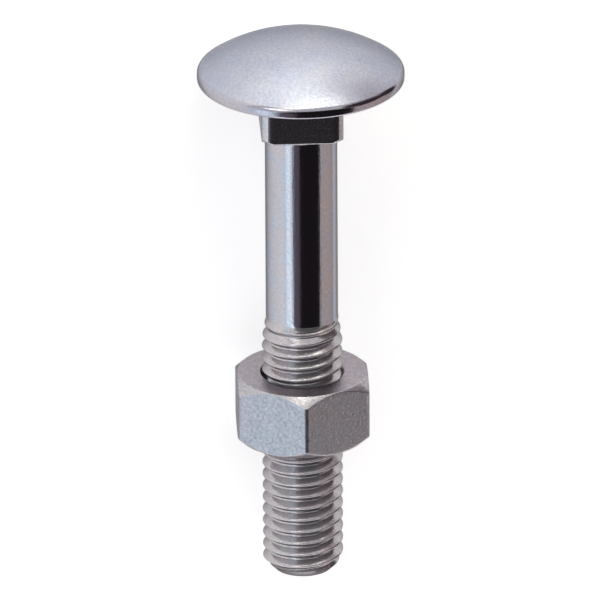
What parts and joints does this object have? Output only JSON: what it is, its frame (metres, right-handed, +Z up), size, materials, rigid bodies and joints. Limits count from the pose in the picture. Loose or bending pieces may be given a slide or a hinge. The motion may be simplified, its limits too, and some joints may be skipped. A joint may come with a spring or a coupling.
{
  "type": "carriage bolt",
  "caption": "Carriage bolt with a low domed head, a square neck, a plain shank and a right-hand thread that carries a hex nut.",
  "frame": {"origin": "on the table under the middle of the bolt, which lies on the rim of its head and on one flat of its nut", "axes": "+Z up; the bolt points along +X, with its head at -X, and its axis slopes down by 5.61 degrees towards the threaded end"},
  "size_m": [0.0564, 0.0202, 0.0203],
  "materials": {
    "bolt_zinc": "bright zinc plated steel",
    "nut_zinc": "bright zinc plated steel"
  },
  "bodies": {
    "bolt": {"bolt": "bolt_zinc"},
    "nut": {"hex_nut": "nut_zinc"}
  },
  "joints": [
    {"name": "nut_travel", "type": "slide", "parent": "bolt", "child": "nut", "axis": [0.9952, 0, -0.0978], "range_m": [-0.00375, 0.01375]}
  ]
}
